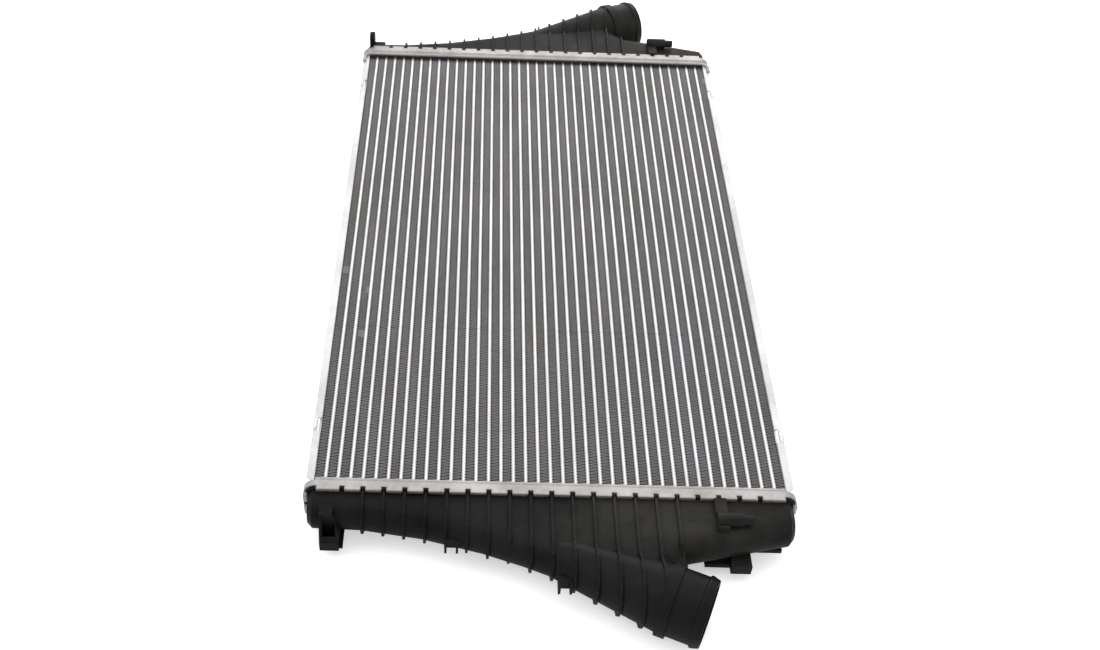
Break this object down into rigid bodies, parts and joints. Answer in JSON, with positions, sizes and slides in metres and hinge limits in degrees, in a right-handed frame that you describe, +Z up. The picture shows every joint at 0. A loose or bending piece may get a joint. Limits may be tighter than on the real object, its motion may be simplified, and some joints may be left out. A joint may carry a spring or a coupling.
{
  "type": "charge air intercooler",
  "caption": "Flat charge-air cooler with a finned tube core, crimped ribbed end tanks, slanted hose spigots and mounting lugs.",
  "frame": {"origin": "middle of the bounding box at its lowest level, where the hose collars touch the ground plane", "axes": "+Y along the tubes towards the inlet tank, +X along the tanks towards the side of the spigots, +Z up, normal to the face of the core"},
  "size_m": [0.417, 0.924, 0.0645],
  "materials": {
    "tank": "glass-filled nylon, moulded, satin",
    "header": "pressed sheet, brazed, dull",
    "side_plate": "folded sheet, brazed, dull",
    "tube": "brazed, dull",
    "fin": "corrugated foil seen in shade",
    "gasket": "moulded silicone rubber"
  },
  "bodies": {
    "root": {"tube_01": "tube", "tube_02": "tube", "tube_03": "tube", "tube_04": "tube", "tube_05": "tube", "tube_06": "tube", "tube_07": "tube", "tube_08": "tube", "tube_09": "tube", "tube_10": "tube", "tube_11": "tube", "tube_12": "tube", "tube_13": "tube", "tube_14": "tube", "tube_15": "tube", "tube_16": "tube", "tube_17": "tube", "tube_18": "tube", "tube_19": "tube", "tube_20": "tube", "tube_21": "tube", "tube_22": "tube", "tube_23": "tube", "tube_24": "tube", "tube_25": "tube", "tube_26": "tube", "tube_27": "tube", "tube_28": "tube", "tube_29": "tube", "tube_30": "tube", "tube_31": "tube", "tube_32": "tube", "tube_33": "tube", "tube_34": "tube", "tube_35": "tube", "tube_36": "tube", "tube_37": "tube", "fins": "fin", "inlet_tank": "tank", "outlet_tank": "tank", "inlet_header_plate": "header", "outlet_header_plate": "header", "inlet_gasket": "gasket", "outlet_gasket": "gasket", "left_side_plate": "side_plate", "right_side_plate": "side_plate"}
  },
  "joints": []
}
